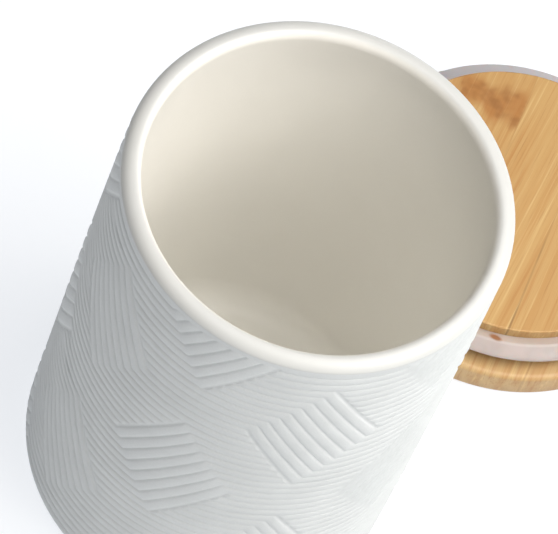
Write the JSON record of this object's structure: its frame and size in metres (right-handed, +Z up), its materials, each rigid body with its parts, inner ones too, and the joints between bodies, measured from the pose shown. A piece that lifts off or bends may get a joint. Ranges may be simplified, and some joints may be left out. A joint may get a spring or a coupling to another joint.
{
  "type": "storage canister",
  "caption": "Open-topped ceramic storage canister with its plug-fit bamboo lid and silicone seal lying turned over beside it.",
  "frame": {"origin": "centre of the canister's flat base", "axes": "+Z up along the canister's axis; +Y along the lid's bamboo grain; the lid lies towards +X +Y"},
  "size_m": [0.151, 0.2005, 0.141],
  "materials": {
    "stoneware": "matte white glaze over a fine combed relief, satin inside",
    "bamboo": "sanded and lightly oiled edge-glued bamboo",
    "silicone": "translucent milky silicone, satin"
  },
  "bodies": {
    "canister": {"canister_body": "stoneware"},
    "lid": {"cap_strip_1": "bamboo", "cap_strip_2": "bamboo", "cap_strip_3": "bamboo", "cap_strip_4": "bamboo", "cap_strip_5": "bamboo", "cap_strip_6": "bamboo", "plug_strip_1": "bamboo", "plug_strip_2": "bamboo", "plug_strip_3": "bamboo", "plug_strip_4": "bamboo", "plug_strip_5": "bamboo", "silicone_seal": "silicone"}
  },
  "joints": [
    {"name": "lid_lift", "type": "slide", "parent": "canister", "child": "lid", "axis": [0, 0, 1], "range_m": [0, 0.16]}
  ]
}
